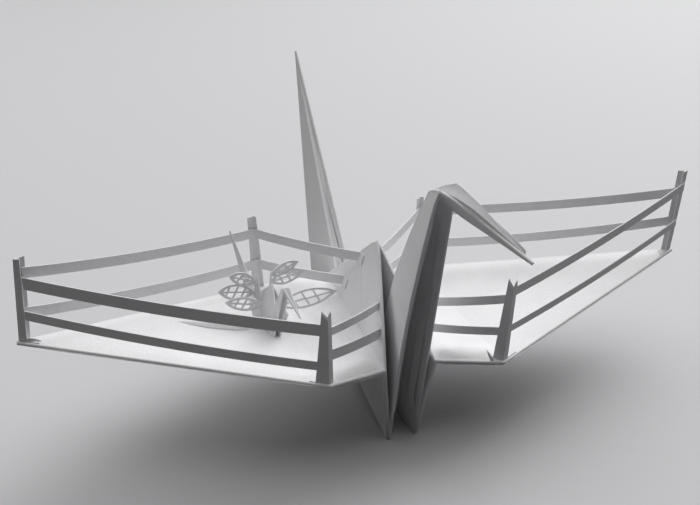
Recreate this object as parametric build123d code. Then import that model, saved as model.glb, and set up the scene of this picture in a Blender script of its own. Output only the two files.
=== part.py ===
from build123d import *
import math
import os
from dataclasses import dataclass

# A paper crane with a rail fence round each wing, and a small pierced crane standing on
# its right wing. Millimetres, +Z up, the head towards -Y, the crane's left wing at +X.
# It is drawn round the middle of its body, on the table, and centred at the end.

# Paper as it lies once folded, with the air between its layers
WALL = 0.5                  # a folded wall of the large crane
WING_WALL = 0.6             # its wings, which hold the most layers
FLAP = 0.25                 # a single flap lying on a wall
STRIP = 0.2                 # the stiff strip that posts and rails are cut from
SMALL_WALL = 0.3            # a folded wall of the small crane
PIERCED = 0.25              # its wings, which are cut through
FOLD_BULGE = 1.15           # a fold stands a little prouder than the wall it joins
SEAM = 0.3                  # the slit where two flaps meet
GLUE = 0.05                 # between a strip and what it is glued to

# The square sheets
SHEET_SIDE = 150.0
SMALL_SHEET_SIDE = 38.0

# Angles that every crane of this kind is folded to
NARROW = math.radians(11.25)        # half the point of a neck or a tail
WING_POINT = math.radians(22.5)     # half the point of a wing

# The large crane's body, opened after folding
ROOT_HEIGHT = 18.3          # wing fold above the table
HUMP_HEIGHT = 34.6          # peak of the back above the table
ROOT_REACH = 17.4           # end of a wing fold from the middle
ROOT_GAP = 4.7              # wing fold from the middle plane
FOOT_REACH = 14.5           # foot from the middle
FOOT_GAP = 2.6              # foot from the middle plane
BELLY = 2.4                 # middle of the lower edge above the table
FLAP_PEAK = 8.6             # where the side flaps part, above the table
FLAP_SPREAD = 7.3           # half the gap between them at the wing fold

# Neck, head and tail
NECK_LENGTH = 52.9          # along the fold, up to the head
NECK_LEAN = math.radians(19.6)
NECK_TILT = math.radians(2.6)
NECK_BOW = 2.0              # how far its fold bends back
NECK_BULGE = 1.1            # how far its right wall bellies out
NECK_STEPS = 5
NECK_OPEN_RIGHT = math.radians(32.8)
NECK_OPEN_LEFT = math.radians(26.9)
HEAD_TURN = math.radians(21.9)
HEAD_DROP = math.radians(9.6)
TAIL_LEAN = math.radians(46.6)

# Wings
CORNER_RUN = 12.3           # from the wing fold out to the widest line

# Fence
POST_INSET = 0.1            # from the wing's edges
POST_POINTS = 1.2           # how far a notched post's two points rise over its fold
FOOT_TAB = 3.4              # glue tab under a post
TAB_SHARE = 0.7             # its second side, as a share of the first
RAIL_TAB = 1.8              # a rail's end, glued to the back
RAIL_SAG = 0.8              # how far it hangs on its way along a wing's edge
END_CLEAR = 0.4             # from where two rails would cross in a post to their ends
BEHIND = STRIP + GLUE + STRIP / 2   # from a post's outer face to the middle of a rail in it

# Small crane
SMALL_YAW = math.radians(15.0)      # how far its head is turned towards the left wing
SMALL_X = -21.3             # where it stands on the right wing
SMALL_Y = 1.4
SMALL_LIFT = 0.02           # air under its feet
SMALL_NECK = 11.5           # along the fold, up to the head
SMALL_NECK_LEAN = math.radians(28.9)
SMALL_NECK_TILT = math.radians(-7.0)
SMALL_NECK_OPEN = math.radians(25.0)
SMALL_HEAD_DROP = math.radians(19.0)
SMALL_TAIL_LEAN = math.radians(38.6)
SMALL_TAIL_TILT = math.radians(-11.0)
RIM = 0.42                  # frame round a pierced lobe
RIB = 0.32                  # a rib between two openings
RIB_SLANT = 22              # degrees, of the cross ribs


@dataclass(frozen=True)
class Body:
    """One crane's body: how far its sheet is opened between its feet and its wings."""

    spine: float            # fold of the neck or tail, from the belly to the point
    wall: float
    flap: float
    root_height: float
    hump_height: float
    root_reach: float
    root_gap: float
    foot_reach: float
    foot_gap: float
    belly: float
    flap_peak: float
    flap_spread: float

    def keel(self):
        return Vector(0, 0, self.belly)

    def peak(self):
        return Vector(0, 0, self.hump_height)

    def foot(self, side, end):
        """Where the folds of a foot meet, just under the table that trims them."""
        return self.on_flank(side, end * self.foot_reach, -self.wall / 2)

    def root(self, side, end):
        return Vector(side * self.root_gap, end * self.root_reach, self.root_height)

    def on_flank(self, side, y, z, out=0.0):
        """A point of the wall between a foot and the wing fold."""
        rise = (self.root_gap - self.foot_gap) / self.root_height
        return Vector(side * (self.foot_gap + rise * z + out), y, z)

    def on_back(self, side, y, z):
        """A point of the wall between the wing fold and the peak."""
        share = (self.hump_height - z) / (self.hump_height - self.root_height)
        return Vector(side * self.root_gap * share, y, z)


@dataclass(frozen=True)
class Wing:
    """How one wing of the large crane lies."""

    side: int               # -1 right, +1 left
    dip: float              # slope from the wing fold out to the widest line
    rise: float             # slope from there to the point
    twist: float            # fall from front to back
    skew: float             # the widest line turned in plan
    sweep: float            # the point turned in plan

    def middle(self):
        slope = math.radians(self.dip)
        run = Vector(self.side * math.cos(slope), 0, math.sin(slope)) * CORNER_RUN
        return Vector(self.side * ROOT_GAP, 0, ROOT_HEIGHT) + run

    def corner(self, end):
        skew = math.radians(self.skew)
        half = Vector(self.side * math.sin(skew), math.cos(skew), math.sin(math.radians(self.twist)))
        return self.middle() + half * (end * widest_half())

    def point(self):
        rise = math.radians(self.rise)
        sweep = math.radians(self.sweep)
        run = Vector(self.side * math.cos(rise), math.sin(sweep), math.sin(rise))
        return self.middle() + run * point_run()

    def normal(self):
        across = self.corner(1) - self.corner(-1)
        along = self.point() - self.middle()
        up = along.cross(across).normalized()
        return up if up.Z > 0 else -up

    def top(self, x, y):
        """The point of the wing's upper face over x, y."""
        base = self.point() + self.normal() * (WING_WALL / 2)
        up = self.normal()
        z = base.Z - ((x - base.X) * up.X + (y - base.Y) * up.Y) / up.Z
        return Vector(x, y, z)


def widest_level():
    """Share of the sheet's diagonal half at which a wing is widest."""
    return math.tan(WING_POINT) / (math.tan(WING_POINT) + math.tan(NARROW))


def widest_half():
    return SHEET_SIDE * widest_level() * math.tan(NARROW)


def point_run():
    return SHEET_SIDE * (1 - widest_level())


LARGE = Body(
    spine=SHEET_SIDE / 2,
    wall=WALL,
    flap=FLAP,
    root_height=ROOT_HEIGHT,
    hump_height=HUMP_HEIGHT,
    root_reach=ROOT_REACH,
    root_gap=ROOT_GAP,
    foot_reach=FOOT_REACH,
    foot_gap=FOOT_GAP,
    belly=BELLY,
    flap_peak=FLAP_PEAK,
    flap_spread=FLAP_SPREAD,
)

SCALE = SMALL_SHEET_SIDE / SHEET_SIDE
SMALL = Body(
    spine=SMALL_SHEET_SIDE / 2,
    wall=SMALL_WALL,
    flap=PIERCED / 2,
    root_height=ROOT_HEIGHT * SCALE,
    hump_height=HUMP_HEIGHT * SCALE,
    root_reach=ROOT_REACH * SCALE,
    root_gap=ROOT_GAP * SCALE,
    foot_reach=FOOT_REACH * SCALE,
    foot_gap=FOOT_GAP * SCALE,
    belly=BELLY * SCALE,
    flap_peak=FLAP_PEAK * SCALE,
    flap_spread=FLAP_SPREAD * SCALE,
)

RIGHT_WING = Wing(side=-1, dip=-1.2, rise=10.8, twist=-4.1, skew=3.6, sweep=-1.9)
LEFT_WING = Wing(side=1, dip=-12.0, rise=6.1, twist=-3.4, skew=-1.0, sweep=0.0)


def panel(corners, thickness):
    """A flat wall of paper, its thickness centred on its corners."""
    face = Face(Wire.make_polygon(corners))
    return extrude(face, amount=thickness / 2, both=True).solid()


def fold(start, end, thickness):
    """The rounded bead of paper along a fold."""
    axis = end - start
    plane = Plane(origin=start, z_dir=axis)
    return Solid.make_cylinder(thickness * FOLD_BULGE / 2, axis.length, plane)


def folds(points, thickness):
    return [fold(a, b, thickness) for a, b in zip(points, points[1:])]


def joined(pieces):
    first, *rest = pieces
    return first.fuse(*rest)


def above(shape, height):
    """What of a shape lies above a level."""
    return split(shape, Plane.XY.offset(height), keep=Keep.TOP)


def body_walls(body):
    """Flanks, back, side flaps and the gussets that run in to the middle."""
    pieces = []
    for side in (-1, 1):
        feet = [body.foot(side, 1), body.foot(side, -1)]
        roots = [body.root(side, -1), body.root(side, 1)]
        pieces.append(panel([body.on_flank(side, 0, body.belly), *feet[1:], *roots, feet[0]], body.wall))
        pieces.append(panel([body.peak(), *roots], body.wall))
        pieces += folds([body.peak(), roots[0], feet[1]], body.wall)
        pieces += folds([body.peak(), roots[1], feet[0]], body.wall)
        pieces.append(fold(*roots, body.wall))
        pieces += [side_flap(body, side, end) for end in (-1, 1)]
        pieces += [wall for end in (-1, 1) for wall in gusset(body, side, end)]
    return pieces


def side_flap(body, side, end):
    """The narrowing flap that lies on a flank, up to the seam down its middle."""
    out = body.wall / 2
    y_seam = end * SEAM / 2
    foot = body.foot(side, end)
    shape = [(y_seam, body.belly), (foot.Y, foot.Z), (end * body.root_reach, body.root_height),
             (end * body.flap_spread, body.root_height), (y_seam, body.flap_peak)]
    return panel([body.on_flank(side, y, z, out) for y, z in shape], body.flap * 2)


def gusset(body, side, end):
    """The inner wall from one sloping edge of the back in to the middle."""
    root = body.root(side, end)
    upper = panel([body.peak(), root, body.keel()], body.wall)
    lower = panel([root, body.foot(side, end), body.keel()], body.wall)
    return upper, lower


def trough(spine, rims, thickness):
    """One wall of a V between its fold and its rim, with a bead along the rim."""
    pieces = []
    for i in range(len(spine) - 1):
        pieces.append(panel([spine[i], rims[i], spine[i + 1]], thickness))
        if rims[i + 1] != spine[i + 1]:
            pieces.append(panel([rims[i], rims[i + 1], spine[i + 1]], thickness))
    return pieces + folds(rims, thickness)


def neck_and_head(body, length, lean, tilt, openings, turn, drop, bow, bulge):
    """The neck, a V open to the front, and the head, its point turned inside out."""
    along = Vector(math.sin(tilt), -math.sin(lean) * math.cos(tilt), math.cos(lean) * math.cos(tilt))
    nape = body.keel() + along * length
    ahead = Vector(math.sin(turn) * math.cos(drop), -math.cos(turn) * math.cos(drop), -math.sin(drop))
    left = body.spine - length
    beak = nape + ahead * left

    half_turn = math.radians(along.get_angle(ahead)) / 2
    crease = left * math.sin(NARROW) / math.sin(half_turn + NARROW)
    middle = (along + ahead).normalized()
    forward = (middle - along * middle.dot(along)).normalized()
    sideways = ahead.cross(along).normalized()
    if sideways.X < 0:
        sideways = -sideways

    def crown(side, opening):
        spread = forward * math.cos(opening) + sideways * (side * math.sin(opening))
        return nape + (along * math.cos(half_turn) + spread * math.sin(half_turn)) * crease

    steps = [i / NECK_STEPS for i in range(NECK_STEPS + 1)]
    belly_out = [math.sin(math.pi * t) for t in steps]
    spine = [body.keel() + (nape - body.keel()) * t + Vector(-bulge, bow, 0) * s
             for t, s in zip(steps, belly_out)]
    pieces = folds(spine, body.wall)
    for side, opening in zip((-1, 1), openings):
        top = crown(side, opening)
        swell = Vector(-bulge, 0, 0) if side < 0 else Vector(0, 0, 0)
        rims = [body.foot(side, -1) + (top - body.foot(side, -1)) * t + swell * s
                for t, s in zip(steps, belly_out)]
        pieces += trough(spine, rims, body.wall)
        pieces += trough([nape, beak], [top, beak], body.wall)
        pieces.append(fold(nape, top, body.wall))
    pieces.append(fold(nape, beak, body.wall))
    return pieces


def tail(body, lean, tilt):
    """The tail, a V open underneath."""
    along = Vector(math.sin(tilt), math.sin(lean) * math.cos(tilt), math.cos(lean) * math.cos(tilt))
    tip = body.keel() + along * body.spine
    pieces = [fold(body.keel(), tip, body.wall)]
    for side in (-1, 1):
        pieces += trough([body.keel(), tip], [body.foot(side, 1), tip], body.wall)
    return pieces


def wing_walls(wing):
    """One wing, with the seam of its two flaps along the underside."""
    front, back, tip = wing.corner(-1), wing.corner(1), wing.point()
    root_front, root_back = LARGE.root(wing.side, -1), LARGE.root(wing.side, 1)
    outer = panel([tip, front, back], WING_WALL)
    middle = wing.middle()
    across = (back - front).normalized() * (SEAM / 2)
    under = wing.normal() * (-WING_WALL / 2)
    seam = panel([middle + across + under, middle - across + under, tip + under], FLAP * 2)
    pieces = [outer.cut(seam).solid()]
    pieces.append(panel([root_front, root_back, back], WING_WALL))
    pieces.append(panel([root_front, back, front], WING_WALL))
    pieces += folds([root_front, front, tip, back, root_back], WING_WALL)
    for end, corner, root in ((-1, front, root_front), (1, back, root_back)):
        inner = Vector(root.X, end * FLAP_SPREAD, root.Z)
        drop = Vector(0, 0, -WING_WALL / 2)
        pieces.append(panel([inner + drop, root + drop, corner + drop], FLAP * 2))
    return pieces


def folded_crane():
    """The large crane: one square sheet from beak to tail."""
    pieces = body_walls(LARGE)
    pieces += neck_and_head(LARGE, NECK_LENGTH, NECK_LEAN, NECK_TILT,
                            (NECK_OPEN_RIGHT, NECK_OPEN_LEFT), HEAD_TURN, HEAD_DROP,
                            NECK_BOW, NECK_BULGE)
    pieces += tail(LARGE, TAIL_LEAN, 0.0)
    pieces += wing_walls(RIGHT_WING)
    pieces += wing_walls(LEFT_WING)
    return above(joined(pieces), 0)


@dataclass(frozen=True)
class Post:
    """A strip folded lengthwise into a V, standing at one corner of a wing."""

    name: str
    end: int                # -1 front corner, 0 point, +1 back corner
    height: float           # of its fold
    lean: float             # of its top towards the crane's left
    first: tuple            # widths at foot and top of the face along the wing's edge
    second: tuple           # of the other face
    notched: bool = False   # its top cut to two points


@dataclass(frozen=True)
class Rail:
    """A strip on edge: from a corner post out to the tip post, in to the back, or both."""

    name: str
    end: int                # -1 front, +1 back
    depth: float
    at_corner: float        # height over the wing's corner
    at_tip: float = None    # height over the wing's point, if it runs out there
    outside: bool = False   # glued on the tip post's outer side
    seat: tuple = None      # y and z where it is glued to the back, if it runs in there


@dataclass(frozen=True)
class Fence:
    """The posts and rails of one wing."""

    wing: Wing
    posts: tuple
    rails: tuple

    def post(self, end):
        return next(post for post in self.posts if post.end == end)

    def seat(self, rail):
        y, z = rail.seat
        return LARGE.on_back(self.wing.side, rail.end * y, z)

    def ridge(self, end):
        """Foot of a post's fold, inset from the two edges that meet there."""
        wing = self.wing
        if end == 0:
            here, first, second = wing.point(), wing.corner(-1), wing.corner(1)
        else:
            here, first, second = wing.corner(end), wing.point(), LARGE.root(wing.side, end)
        one, two = flat_unit(first - here), flat_unit(second - here)
        half = math.radians(one.get_angle(two)) / 2
        spot = here + (one + two).normalized() * (POST_INSET / math.sin(half))
        return wing.top(spot.X, spot.Y)

    def faces(self, end):
        """The two directions, in plan, that a post's faces run in from its fold."""
        here = self.ridge(end)
        if end == 0:
            return flat_unit(self.ridge(-1) - here), flat_unit(self.ridge(1) - here)
        inner = [rail for rail in self.rails if rail.end == end and rail.seat]
        lowest = min(inner, key=lambda rail: rail.seat[1])
        return flat_unit(self.ridge(0) - here), flat_unit(self.seat(lowest) - here)

    def ridge_at(self, end, height):
        post = self.post(end)
        return self.ridge(end) + Vector(math.tan(math.radians(post.lean)) * height, 0, height)

    def bend(self, end, height):
        """Where a strip that runs round inside a post bends."""
        one, two = self.faces(end)
        half = math.radians(one.get_angle(two)) / 2
        return self.ridge_at(end, height) + (one + two).normalized() * (BEHIND / math.sin(half))

    def stop(self, end, face, height, outside=False):
        """Where a strip glued to one face of a post ends, clear of one on the other."""
        one, two = self.faces(end)
        along, other = (one, two) if face == 0 else (two, one)
        inward = square_to(along, other)
        if outside:
            return self.ridge_at(end, height) + along * END_CLEAR - inward * (GLUE + STRIP / 2)
        reach = BEHIND / math.tan(math.radians(one.get_angle(two)) / 2) + END_CLEAR
        return self.ridge_at(end, height) + along * reach + inward * BEHIND


def flat_unit(vector):
    return Vector(vector.X, vector.Y, 0).normalized()


def square_to(direction, towards):
    """The unit vector square to a direction in plan, on the side of another."""
    across = Vector(-direction.Y, direction.X, 0)
    return across if across.dot(towards) > 0 else -across


def post_section(at, one, two, first_width, second_width):
    """The V of a post in plan: two faces from the fold, one strip thick."""
    in_one, in_two = square_to(one, two), square_to(two, one)
    half = math.radians(one.get_angle(two)) / 2
    crook = (one + two).normalized() * (STRIP / math.sin(half))
    shape = [Vector(0, 0, 0), one * first_width, one * first_width + in_one * STRIP, crook,
             two * second_width + in_two * STRIP, two * second_width]
    return Wire.make_polygon([at + corner for corner in shape])


def fence_post(fence, post, crane):
    """A V of strip, wider at its foot, with a glue tab, and at its top a notch or none."""
    one, two = fence.faces(post.end)
    into = (one + two).normalized()
    base = fence.ridge_at(post.end, -WING_WALL / 3)
    crest = fence.ridge_at(post.end, post.height + POST_POINTS * 2)
    sections = [post_section(base, one, two, post.first[0], post.second[0]),
                post_section(crest, one, two, post.first[1], post.second[1])]
    shaft = Solid.make_loft(sections, ruled=True)
    slope = POST_POINTS / (post.first[1] * one.dot(into)) if post.notched else 0
    cut = Plane(origin=fence.ridge_at(post.end, post.height), z_dir=Vector(0, 0, 1) - into * slope)
    shaft = split(shaft, cut, keep=Keep.BOTTOM)

    wing = fence.wing
    foot = fence.ridge(post.end)
    other = two if post.end == 0 else Vector(0, -post.end, 0)
    corners = [foot, foot + one * FOOT_TAB, foot + other * (FOOT_TAB * TAB_SHARE)]
    lift = wing.normal() * (STRIP / 2)
    tab = panel([wing.top(spot.X, spot.Y) + lift for spot in corners], STRIP)
    return largest(shaft.fuse(tab).cut(crane))


def largest(shape):
    return max(shape.solids(), key=lambda solid: solid.volume)


def rail_span(start, end, depth):
    """A strip on edge between two points, hanging a little between them."""
    up = Vector(0, 0, depth / 2)
    middle = (start + end) / 2 - Vector(0, 0, RAIL_SAG * (end - start).length / point_run())
    edges = [
        Edge.make_three_point_arc(start - up, middle - up, end - up),
        Edge.make_line(end - up, end + up),
        Edge.make_three_point_arc(end + up, middle + up, start + up),
        Edge.make_line(start + up, start - up),
    ]
    return extrude(Face(Wire(edges)), amount=STRIP / 2, both=True).solid()


def fence_rail(fence, rail, solids):
    """The stretches of a rail, its fold round the corner post and its tab on the back."""
    outer, inner = rail.at_tip is not None, rail.seat is not None
    if outer and inner:
        corner = fence.bend(rail.end, rail.at_corner)
    else:
        corner = fence.stop(rail.end, 0 if outer else 1, rail.at_corner)
    upright = Vector(0, 0, rail.depth / 2)
    pieces = []
    if outer:
        tip = fence.stop(0, 0 if rail.end < 0 else 1, rail.at_tip, rail.outside)
        pieces.append(rail_span(tip, corner, rail.depth))
    if outer and inner:
        pieces.append(fold(corner - upright, corner + upright, STRIP))
    if inner:
        out = Vector(fence.wing.side * (HUMP_HEIGHT - ROOT_HEIGHT), 0, ROOT_GAP).normalized()
        seat = fence.seat(rail) + out * (WALL / 2 + GLUE + STRIP / 2)
        up = out.cross(Vector(0, 1, 0)).normalized() * (rail.depth / 2)
        back = Vector(0, -rail.end * RAIL_TAB, 0)
        pieces.append(rail_span(corner, seat, rail.depth))
        pieces.append(fold(seat - upright, seat + upright, STRIP))
        pieces.append(panel([seat - up, seat + back - up, seat + back + up, seat + up], STRIP))
    return largest(joined(pieces).cut(*solids))


RIGHT_FENCE = Fence(
    wing=RIGHT_WING,
    posts=(Post("right_tip_post", 0, 15.6, 6.0, (1.4, 1.0), (2.0, 1.9)),
           Post("right_front_post", -1, 12.9, 0.0, (2.4, 1.0), (1.1, 0.8), notched=True),
           Post("right_back_post", 1, 16.2, -2.5, (2.0, 1.3), (0.9, 0.7))),
    rails=(Rail("right_front_outer_upper_rail", -1, 2.3, at_corner=10.8, at_tip=11.0),
           Rail("right_front_outer_lower_rail", -1, 1.8, at_corner=3.5, at_tip=4.9),
           Rail("right_front_inner_upper_rail", -1, 1.6, at_corner=10.3, seat=(8.4, 25.8)),
           Rail("right_front_inner_lower_rail", -1, 2.1, at_corner=5.6, seat=(11.9, 22.3)),
           Rail("right_back_upper_rail", 1, 2.0, at_corner=12.5, at_tip=12.8, seat=(4.6, 29.0)),
           Rail("right_back_lower_rail", 1, 2.1, at_corner=5.5, at_tip=5.2, seat=(8.5, 22.0))),
)
LEFT_FENCE = Fence(
    wing=LEFT_WING,
    posts=(Post("left_tip_post", 0, 17.8, 3.0, (1.5, 1.3), (1.8, 1.9)),
           Post("left_front_post", -1, 14.6, 3.0, (1.1, 0.8), (2.0, 1.1), notched=True),
           Post("left_back_post", 1, 16.9, 0.0, (1.1, 0.8), (2.0, 1.2))),
    rails=(Rail("left_front_outer_upper_rail", -1, 1.8, at_corner=14.1, at_tip=14.4, outside=True),
           Rail("left_front_outer_lower_rail", -1, 1.5, at_corner=6.4, at_tip=6.3, outside=True),
           Rail("left_front_inner_upper_rail", -1, 1.8, at_corner=12.8, seat=(8.4, 25.8)),
           Rail("left_front_inner_lower_rail", -1, 1.7, at_corner=6.1, seat=(11.9, 22.3)),
           Rail("left_back_upper_rail", 1, 2.0, at_corner=13.8, at_tip=13.2, seat=(4.6, 29.0)),
           Rail("left_back_lower_rail", 1, 2.0, at_corner=5.9, at_tip=6.8, seat=(8.5, 22.0))),
)


@dataclass(frozen=True)
class Lobe:
    """One pierced lobe of the small crane's wings, in the small crane's own frame."""

    start: tuple
    reach: tuple            # from its root to its point
    width: float
    ribs: tuple             # where its cross ribs stand, as shares of its length


def lens(length, width, inset):
    """A leaf outline along +X, narrowed by an inset all round."""
    a, b = Vector(inset * 2, 0), Vector(length - inset * 2, 0)
    crown = Vector(length * 0.48, width / 2 - inset)
    upper = Edge.make_three_point_arc(a, crown, b)
    lower = Edge.make_three_point_arc(b, Vector(crown.X, -crown.Y), a)
    return Face(Wire([upper, lower]))


def pierced_lobe(lobe):
    """A leaf with a frame, a middle rib and slanting cross ribs, cut from one layer."""
    along = Vector(*lobe.reach)
    length = along.length
    openings = lens(length, lobe.width, RIM) - Pos(length / 2, 0) * Rectangle(length, RIB)
    for share in lobe.ribs:
        openings -= Pos(length * share, 0) * Rot(0, 0, RIB_SLANT) * Rectangle(RIB, lobe.width * 2)
    leaf = lens(length, lobe.width, 0) - openings
    across = Vector(0, 0, 1) - along * (along.Z / length ** 2)
    plane = Plane(origin=Vector(*lobe.start), x_dir=along, z_dir=along.cross(across))
    return plane * extrude(leaf, amount=PIERCED / 2, both=True)


SMALL_LOBES = (
    Lobe((-1.8, 3.0, 8.3), (-5.0, 1.5, 1.0), 2.6, (0.35, 0.6)),
    Lobe((-1.9, 2.9, 6.3), (-6.2, 2.7, -0.6), 3.3, (0.3, 0.52, 0.74)),
    Lobe((-1.0, 0.6, 4.5), (-6.8, 2.5, 0.2), 2.8, (0.3, 0.5, 0.7)),
    Lobe((1.0, 3.0, 9.2), (5.9, 0.0, 2.4), 2.4, (0.35, 0.6)),
    Lobe((1.1, 2.9, 7.9), (7.3, 0.2, 1.5), 3.0, (0.32, 0.54, 0.76)),
    Lobe((1.0, -0.4, 4.5), (11.2, -3.0, 3.2), 3.8, (0.3, 0.48, 0.66)),
)
SMALL_STEMS = (
    ((-1.6, 3.1, 9.8), (-2.0, 3.0, 5.6), (-1.2, 0.8, 4.6), (-1.2, 3.0, 4.6)),
    ((1.2, 3.1, 9.8), (1.2, 2.2, 7.0), (1.2, 0.8, 4.6), (1.2, 3.0, 4.6)),
)


def small_crane():
    """The small crane: a sheet of its own, its wings parted into pierced lobes."""
    pieces = body_walls(SMALL)
    pieces += neck_and_head(SMALL, SMALL_NECK, SMALL_NECK_LEAN, SMALL_NECK_TILT,
                            (SMALL_NECK_OPEN, SMALL_NECK_OPEN), 0.0, SMALL_HEAD_DROP, 0.0, 0.0)
    pieces += tail(SMALL, SMALL_TAIL_LEAN, SMALL_TAIL_TILT)
    for top, low, front, back in SMALL_STEMS:
        pieces.append(panel([Vector(*top), Vector(*low), Vector(*front)], PIERCED))
        pieces.append(panel([Vector(*top), Vector(*front), Vector(*back)], PIERCED))
    pieces += [pierced_lobe(lobe) for lobe in SMALL_LOBES]
    crane = above(joined(pieces), 0)

    up = RIGHT_WING.normal()
    ahead = Vector(math.cos(SMALL_YAW), math.sin(SMALL_YAW), 0)
    stand = RIGHT_WING.top(SMALL_X, SMALL_Y) + up * SMALL_LIFT
    return Plane(origin=stand, x_dir=ahead - up * ahead.dot(up), z_dir=up) * crane


def all_parts():
    """Every part by name."""
    crane = folded_crane()
    parts = {"folded_crane": crane, "small_crane": small_crane()}
    for fence in (RIGHT_FENCE, LEFT_FENCE):
        posts = {post.name: fence_post(fence, post, crane) for post in fence.posts}
        rails = {rail.name: fence_rail(fence, rail, [crane, *posts.values()]) for rail in fence.rails}
        parts.update(posts)
        parts.update(rails)
    return parts


def centred(parts):
    """The parts moved together, so that the origin lies under the middle of the whole."""
    middle = Compound(list(parts.values())).bounding_box().center()
    return {name: Pos(-middle.X, -middle.Y, 0) * part for name, part in parts.items()}


if __name__ == "__main__":
    os.makedirs("parts", exist_ok=True)
    for name, part in centred(all_parts()).items():
        export_step(part, f"parts/{name}.step")
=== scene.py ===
import logging
import math
from dataclasses import dataclass
from enum import Enum

import bmesh
import bpy
from mathutils import Matrix, Vector, noise


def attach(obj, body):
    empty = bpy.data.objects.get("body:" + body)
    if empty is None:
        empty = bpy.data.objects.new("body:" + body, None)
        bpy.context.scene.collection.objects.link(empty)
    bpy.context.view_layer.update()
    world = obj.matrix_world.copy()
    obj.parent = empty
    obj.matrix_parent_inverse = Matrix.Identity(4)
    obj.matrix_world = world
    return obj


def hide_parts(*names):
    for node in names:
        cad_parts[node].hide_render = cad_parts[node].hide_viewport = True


# A paper crane with a rail fence round each wing. The solids come packed. This script gives them
# their paper, adds the rolled and layered edges that folding leaves, and lights the whole.

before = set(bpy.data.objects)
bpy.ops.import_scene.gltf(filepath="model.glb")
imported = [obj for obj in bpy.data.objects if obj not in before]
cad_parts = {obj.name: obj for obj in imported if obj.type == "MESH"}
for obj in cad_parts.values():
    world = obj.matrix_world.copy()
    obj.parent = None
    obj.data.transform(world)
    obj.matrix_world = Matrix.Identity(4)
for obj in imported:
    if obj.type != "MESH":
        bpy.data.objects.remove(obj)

MM = 0.001
ROUGH_SWING = 0.06          # how far the fibres change a paper's roughness, each way
PAPER_SPECULAR = 0.25
FIBRE_LAYS = (((0.30, 0.20, 0.5), (0.22, 1.0, 1.0)),        # for each lay of fibres, its turns in radians
              ((-0.42, -0.28, -0.7), (1.0, 0.25, 0.8)))     # and its scale, least along the fibres
GRACE = 1.02                # how much further the cuts reach than the moves they serve
log = logging.getLogger("paper_crane")
Point = tuple[float, float, float]


def mm(x: float, y: float, z: float) -> Vector:
    """A point or a run given in millimetres, in metres."""
    return Vector((x, y, z)) * MM


def square_to(run: Vector, along: Vector) -> Vector:
    """The part of a run that is square to a unit line, made one unit long."""
    return (run - along * run.dot(along)).normalized()


def cut(bm: bmesh.types.BMesh, faces: list[bmesh.types.BMFace], weld: float, normal: Vector,
        place: Vector) -> None:
    """Cut some faces where a plane meets them.

    Args:
        bm: the mesh they belong to.
        faces: what may be cut.
        weld: how close two points are one, in metres.
        normal: the plane's normal.
        place: a point on the plane.
    """
    edges = dict.fromkeys(edge for face in faces for edge in face.edges)
    verts = dict.fromkeys(vert for face in faces for vert in face.verts)
    bmesh.ops.bisect_plane(bm, geom=[*faces, *edges, *verts], dist=weld, plane_no=normal, plane_co=place)


# Finishes

class Stock(Enum):
    """The three papers of the real object."""

    SHEET = "large_sheet_paper"
    STRIP = "fence_strip_paper"
    FINE = "small_sheet_paper"


@dataclass(frozen=True)
class PaperFinish:
    """One paper: its tone, its fibre and how far it is handled."""

    stock: Stock
    colour: tuple[float, float, float]
    shade: tuple[float, float, float]
    fibre_mm: float
    cloud_mm: float
    cloud_share: float
    grain_depth_mm: float
    cockle_depth_mm: float
    roughness: float
    sheen: float

    def build(self, effects: "PaperEffects") -> bpy.types.Material:
        """Make this paper's material.

        Args:
            effects: the node groups that every paper shares.

        Returns:
            The material, its nodes linked.
        """
        material = bpy.data.materials.new(self.stock.value)
        material.use_nodes = True
        tree = material.node_tree
        nodes, links = tree.nodes, tree.links
        nodes.clear()
        out = nodes.new("ShaderNodeOutputMaterial")
        shader = nodes.new("ShaderNodeBsdfPrincipled")
        place = nodes.new("ShaderNodeTexCoord")
        fibre = effects.place(tree, effects.fibre, {"Fibre mm": self.fibre_mm})
        wear = effects.place(tree, effects.wear, {"Cloud mm": self.cloud_mm})
        links.new(place.outputs["Object"], fibre.inputs["Place"])
        links.new(place.outputs["Object"], wear.inputs["Place"])

        tone = nodes.new("ShaderNodeMath")
        tone.operation = "MULTIPLY_ADD"
        tone.inputs[1].default_value = self.cloud_share
        links.new(wear.outputs["Clouds"], tone.inputs[0])
        links.new(fibre.outputs["Flecks"], tone.inputs[2])
        paper = nodes.new("ShaderNodeMix")
        paper.data_type = "RGBA"
        paper.inputs["A"].default_value = (*self.colour, 1)
        paper.inputs["B"].default_value = (*self.shade, 1)
        links.new(tone.outputs["Value"], paper.inputs["Factor"])
        links.new(paper.outputs["Result"], shader.inputs["Base Color"])

        rough = nodes.new("ShaderNodeMapRange")
        rough.inputs["To Min"].default_value = self.roughness - ROUGH_SWING
        rough.inputs["To Max"].default_value = self.roughness + ROUGH_SWING
        links.new(fibre.outputs["Fibres"], rough.inputs["Value"])
        links.new(rough.outputs["Result"], shader.inputs["Roughness"])

        cockle = nodes.new("ShaderNodeBump")
        cockle.inputs["Strength"].default_value = 1.0
        cockle.inputs["Distance"].default_value = self.cockle_depth_mm * MM
        links.new(wear.outputs["Cockle"], cockle.inputs["Height"])
        grain = nodes.new("ShaderNodeBump")
        grain.inputs["Strength"].default_value = 1.0
        grain.inputs["Distance"].default_value = self.grain_depth_mm * MM
        links.new(fibre.outputs["Fibres"], grain.inputs["Height"])
        links.new(cockle.outputs["Normal"], grain.inputs["Normal"])
        links.new(grain.outputs["Normal"], shader.inputs["Normal"])

        shader.inputs["Specular IOR Level"].default_value = PAPER_SPECULAR
        shader.inputs["Sheen Weight"].default_value = self.sheen
        links.new(shader.outputs["BSDF"], out.inputs["Surface"])
        return material


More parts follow.
